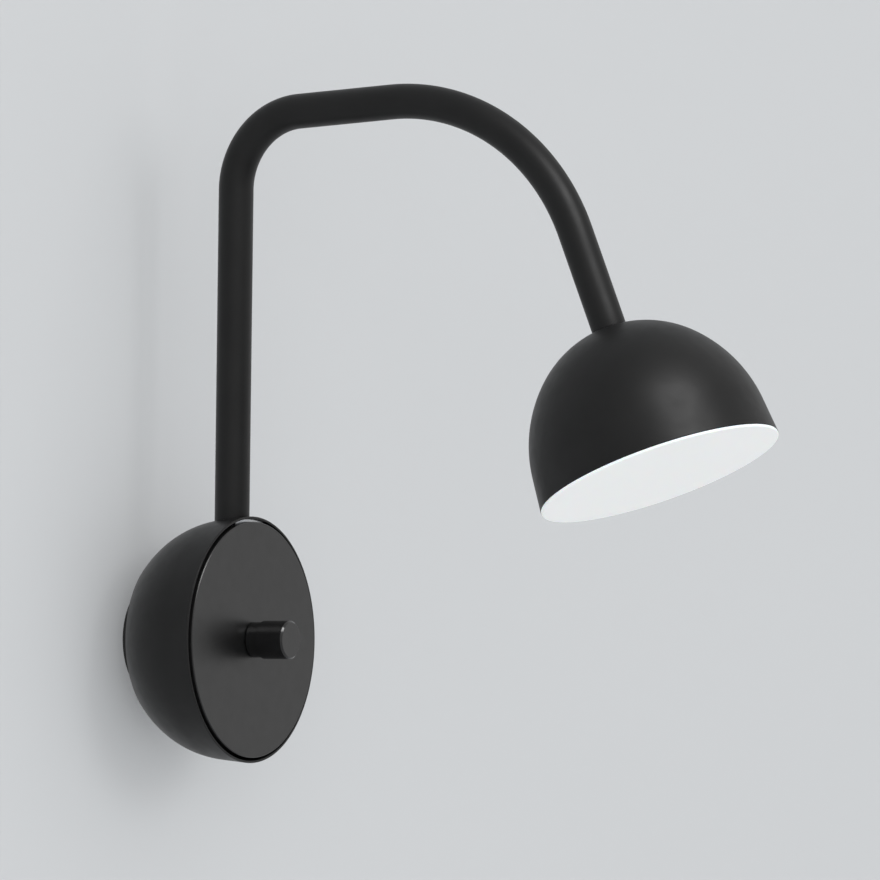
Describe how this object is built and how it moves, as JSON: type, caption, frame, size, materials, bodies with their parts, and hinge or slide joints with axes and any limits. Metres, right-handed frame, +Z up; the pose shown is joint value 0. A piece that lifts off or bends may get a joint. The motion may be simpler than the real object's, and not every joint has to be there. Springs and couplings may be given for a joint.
{
  "type": "swan-neck wall lamp",
  "caption": "Wall lamp: a wall bowl with a dimmer knob on its front plate, a bent tube arm that swivels, and a downward LED bowl with an opal diffuser.",
  "frame": {"origin": "centre of the spacer's back face, where the lamp lies on the wall, midway between the two wall screw slots", "axes": "+Z up, +Y into the wall, -Y out into the room, +X to the right for someone facing the wall"},
  "size_m": [0.12, 0.339, 0.3292],
  "materials": {
    "black_powder": "fine matt black powder coat",
    "plate_powder": "satin black powder coat",
    "spacer_powder": "matt black powder coat",
    "knob_gloss": "gloss black, with a matt front face",
    "zinc_steel": "zinc plated steel",
    "brass": "turned brass",
    "shaft_alloy": "bare aluminium",
    "rubber_black": "moulded rubber",
    "housing_plastic": "moulded black plastic",
    "terminal_plastic": "moulded natural nylon",
    "lead_sheath": "PVC sheath",
    "board_white": "white solder mask on aluminium",
    "led_yellow": "phosphor over the chip",
    "reflector_white": "white moulded plastic",
    "opal_diffuser": "opal white acrylic, satin"
  },
  "bodies": {
    "base": {"wall_plate": "spacer_powder", "base_bowl": "black_powder", "cable_grommet": "rubber_black", "terminal_block": "terminal_plastic", "terminal_screws": "zinc_steel", "earth_screw": "brass", "driver": "housing_plastic", "chassis": "zinc_steel", "chassis_screws": "zinc_steel", "face_plate": "plate_powder", "dimmer_housing": "housing_plastic", "dimmer_bushing": "brass", "dimmer_washer": "zinc_steel", "dimmer_nut": "brass", "saddle_block": "zinc_steel", "swivel_washer": "terminal_plastic"},
    "arm": {"arm_tube": "black_powder", "arm_spigot": "brass", "stop_pin": "zinc_steel", "spring_washer": "zinc_steel", "swivel_nut": "zinc_steel", "arm_lead": "lead_sheath", "lead_connector": "housing_plastic", "head_nipple": "brass", "head_bowl": "black_powder", "heat_sink": "shaft_alloy", "led_board": "board_white", "led_chips": "led_yellow", "board_screws": "zinc_steel", "reflector": "reflector_white", "diffuser": "opal_diffuser"},
    "knob": {"knob": "knob_gloss", "dimmer_shaft": "shaft_alloy", "knob_screw": "zinc_steel"}
  },
  "joints": [
    {"name": "arm_swivel", "type": "hinge", "parent": "base", "child": "arm", "pos_m": [0, -0.045, 0.0556], "axis": [0, 0, 1], "range_deg": [-75, 75]},
    {"name": "knob_turn", "type": "hinge", "parent": "base", "child": "knob", "pos_m": [0, -0.06, 0], "axis": [0, 1, 0], "range_deg": [0, 300]}
  ]
}
